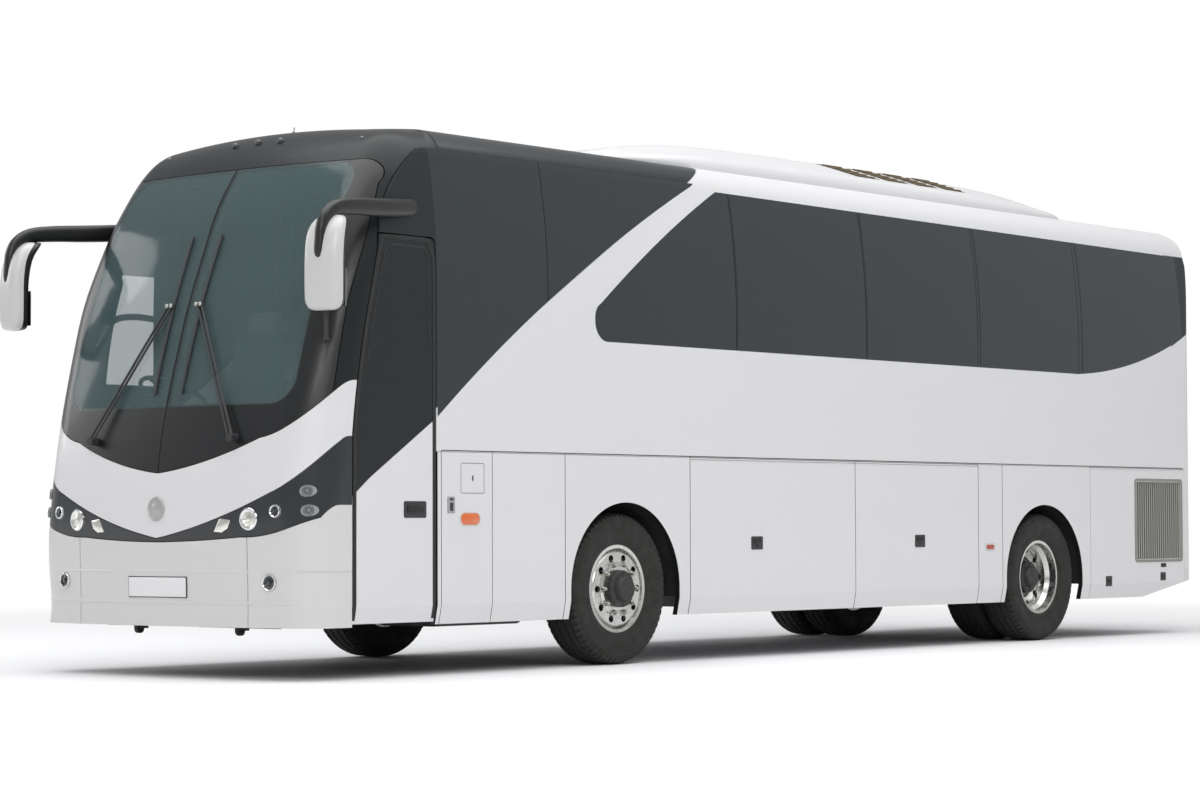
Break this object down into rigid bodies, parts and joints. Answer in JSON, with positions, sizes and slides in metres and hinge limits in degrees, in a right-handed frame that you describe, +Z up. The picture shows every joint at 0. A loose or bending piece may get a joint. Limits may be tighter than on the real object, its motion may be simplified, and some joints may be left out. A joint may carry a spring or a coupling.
{
  "type": "coach bus",
  "caption": "Full-size touring coach with raised saloon, twin rear wheels, outward-swinging entry door, luggage and engine flaps and roof air unit.",
  "frame": {"origin": "on the ground under the middle of the vehicle, the bottom centre of its box", "axes": "+Z up, -Y towards the front of the vehicle, +X towards its left side with the entry door"},
  "size_m": [3.111, 11.0543, 3.6933],
  "materials": {
    "body_white": "gloss paint",
    "bumper_white": "gloss paint on moulding",
    "black_gloss": "gloss black",
    "windscreen_glass": "clear laminated glass",
    "side_glass": "dark tinted glass",
    "lamp_lens": "smoked lens over lamps",
    "lamp_clear": "clear lens over a reflector",
    "lamp_red": "red lens",
    "dark_steel": "black coated steel",
    "trim_rubber": "matt",
    "trim_plastic": "fine grained",
    "tyre": "matt rubber",
    "wheel_alloy": "polished",
    "cast_iron": "raw casting",
    "bay_sheet": "mill finish sheet",
    "floor_covering": "matt floor covering",
    "seat_fabric": "woven",
    "dash_plastic": "grained",
    "mirror_glass": "silvered"
  },
  "bodies": {
    "body": {"front_dome": "black_gloss", "windscreens": "windscreen_glass", "front_mask": "body_white", "headlamps": "lamp_lens", "front_bumper": "bumper_white", "front_frame": "dark_steel", "side_wall_left": "body_white", "side_wall_right": "body_white", "side_glass_left": "side_glass", "side_glass_right": "side_glass", "skirt_left": "body_white", "skirt_right": "body_white", "hinge_rails": "trim_rubber", "rear_wall": "body_white", "rear_window": "side_glass", "tail_lamps": "lamp_red", "rear_bumper": "bumper_white", "roof_panel": "body_white", "roof_hatches": "body_white", "roof_unit": "body_white", "door_brackets": "dark_steel", "front_axle": "cast_iron", "rear_axle": "cast_iron", "chassis_frame": "dark_steel", "luggage_bays": "bay_sheet", "cabin_floor": "floor_covering", "wheel_housings": "dark_steel", "passenger_seats": "seat_fabric", "driver_seat": "seat_fabric", "dashboard": "dash_plastic", "steering_wheel": "dash_plastic", "engine_block": "cast_iron", "air_springs": "trim_rubber", "mirror_arms": "trim_plastic", "mirror_heads": "body_white", "mirror_glasses": "mirror_glass", "wipers": "trim_plastic", "lamp_units": "lamp_clear", "condenser": "dark_steel", "fuel_tanks": "dark_steel"},
    "entry_door": {"entry_door": "body_white", "entry_door_glass": "side_glass"},
    "door_arm": {"door_arm": "dark_steel"},
    "luggage_door_left_front": {"luggage_door_left_front": "body_white"},
    "luggage_door_left_rear": {"luggage_door_left_rear": "body_white"},
    "luggage_door_right_front": {"luggage_door_right_front": "body_white"},
    "luggage_door_right_rear": {"luggage_door_right_rear": "body_white"},
    "engine_door_left": {"engine_door_left": "body_white"},
    "engine_door_right": {"engine_door_right": "body_white"},
    "engine_hatch": {"engine_hatch": "body_white"},
    "knuckle_left": {"knuckle_left": "cast_iron"},
    "knuckle_right": {"knuckle_right": "cast_iron"},
    "wheel_front_left": {"tyre_front_left": "tyre", "rim_front_left": "wheel_alloy"},
    "wheel_front_right": {"tyre_front_right": "tyre", "rim_front_right": "wheel_alloy"},
    "wheels_rear_left": {"tyres_rear_left": "tyre", "rims_rear_left": "wheel_alloy"},
    "wheels_rear_right": {"tyres_rear_right": "tyre", "rims_rear_right": "wheel_alloy"}
  },
  "joints": [
    {"name": "wheel_front_left_spin", "type": "hinge", "parent": "knuckle_left", "child": "wheel_front_left", "pos_m": [1.073, -2.42, 0.51], "axis": [1, 0, 0], "continuous": true},
    {"name": "wheel_front_right_spin", "type": "hinge", "parent": "knuckle_right", "child": "wheel_front_right", "pos_m": [-1.073, -2.42, 0.51], "axis": [1, 0, 0], "continuous": true},
    {"name": "wheels_rear_left_spin", "type": "hinge", "parent": "body", "child": "wheels_rear_left", "pos_m": [0.904, 2.96, 0.51], "axis": [1, 0, 0], "continuous": true},
    {"name": "wheels_rear_right_spin", "type": "hinge", "parent": "body", "child": "wheels_rear_right", "pos_m": [-0.904, 2.96, 0.51], "axis": [1, 0, 0], "continuous": true},
    {"name": "steer_left", "type": "hinge", "parent": "body", "child": "knuckle_left", "pos_m": [0.98, -2.42, 0.51], "axis": [0, 0, 1], "range_deg": [-38, 38]},
    {"name": "steer_right", "type": "hinge", "parent": "body", "child": "knuckle_right", "pos_m": [-0.98, -2.42, 0.51], "axis": [0, 0, 1], "range_deg": [-38, 38]},
    {"name": "door_arm_swing", "type": "hinge", "parent": "body", "child": "door_arm", "pos_m": [1.1, -4.968, 1.6], "axis": [0, 0, -1], "range_deg": [0, 122]},
    {"name": "entry_door_turn", "type": "hinge", "parent": "door_arm", "child": "entry_door", "pos_m": [1.1, -4.518, 1.6], "axis": [0, 0, -1], "range_deg": [-122, 0]},
    {"name": "luggage_door_left_front_lift", "type": "hinge", "parent": "body", "child": "luggage_door_left_front", "pos_m": [1.243, -0.6955, 1.396], "axis": [0, -1, 0], "range_deg": [0, 82]},
    {"name": "luggage_door_left_rear_lift", "type": "hinge", "parent": "body", "child": "luggage_door_left_rear", "pos_m": [1.243, 1.141, 1.396], "axis": [0, -1, 0], "range_deg": [0, 82]},
    {"name": "luggage_door_right_front_lift", "type": "hinge", "parent": "body", "child": "luggage_door_right_front", "pos_m": [-1.243, -0.6955, 1.396], "axis": [0, 1, 0], "range_deg": [0, 82]},
    {"name": "luggage_door_right_rear_lift", "type": "hinge", "parent": "body", "child": "luggage_door_right_rear", "pos_m": [-1.243, 1.141, 1.396], "axis": [0, 1, 0], "range_deg": [0, 82]},
    {"name": "engine_door_left_lift", "type": "hinge", "parent": "body", "child": "engine_door_left", "pos_m": [1.243, 4.4665, 1.396], "axis": [0, -1, 0], "range_deg": [0, 82]},
    {"name": "engine_door_right_lift", "type": "hinge", "parent": "body", "child": "engine_door_right", "pos_m": [-1.243, 4.4665, 1.396], "axis": [0, 1, 0], "range_deg": [0, 82]},
    {"name": "engine_hatch_lift", "type": "hinge", "parent": "body", "child": "engine_hatch", "pos_m": [0, 5.488, 1.399], "axis": [1, 0, 0], "range_deg": [0, 75]}
  ],
  "couplings": [
    {"joint": "steer_right", "follows": "steer_left", "ratio": 1},
    {"joint": "entry_door_turn", "follows": "door_arm_swing", "ratio": -1}
  ]
}
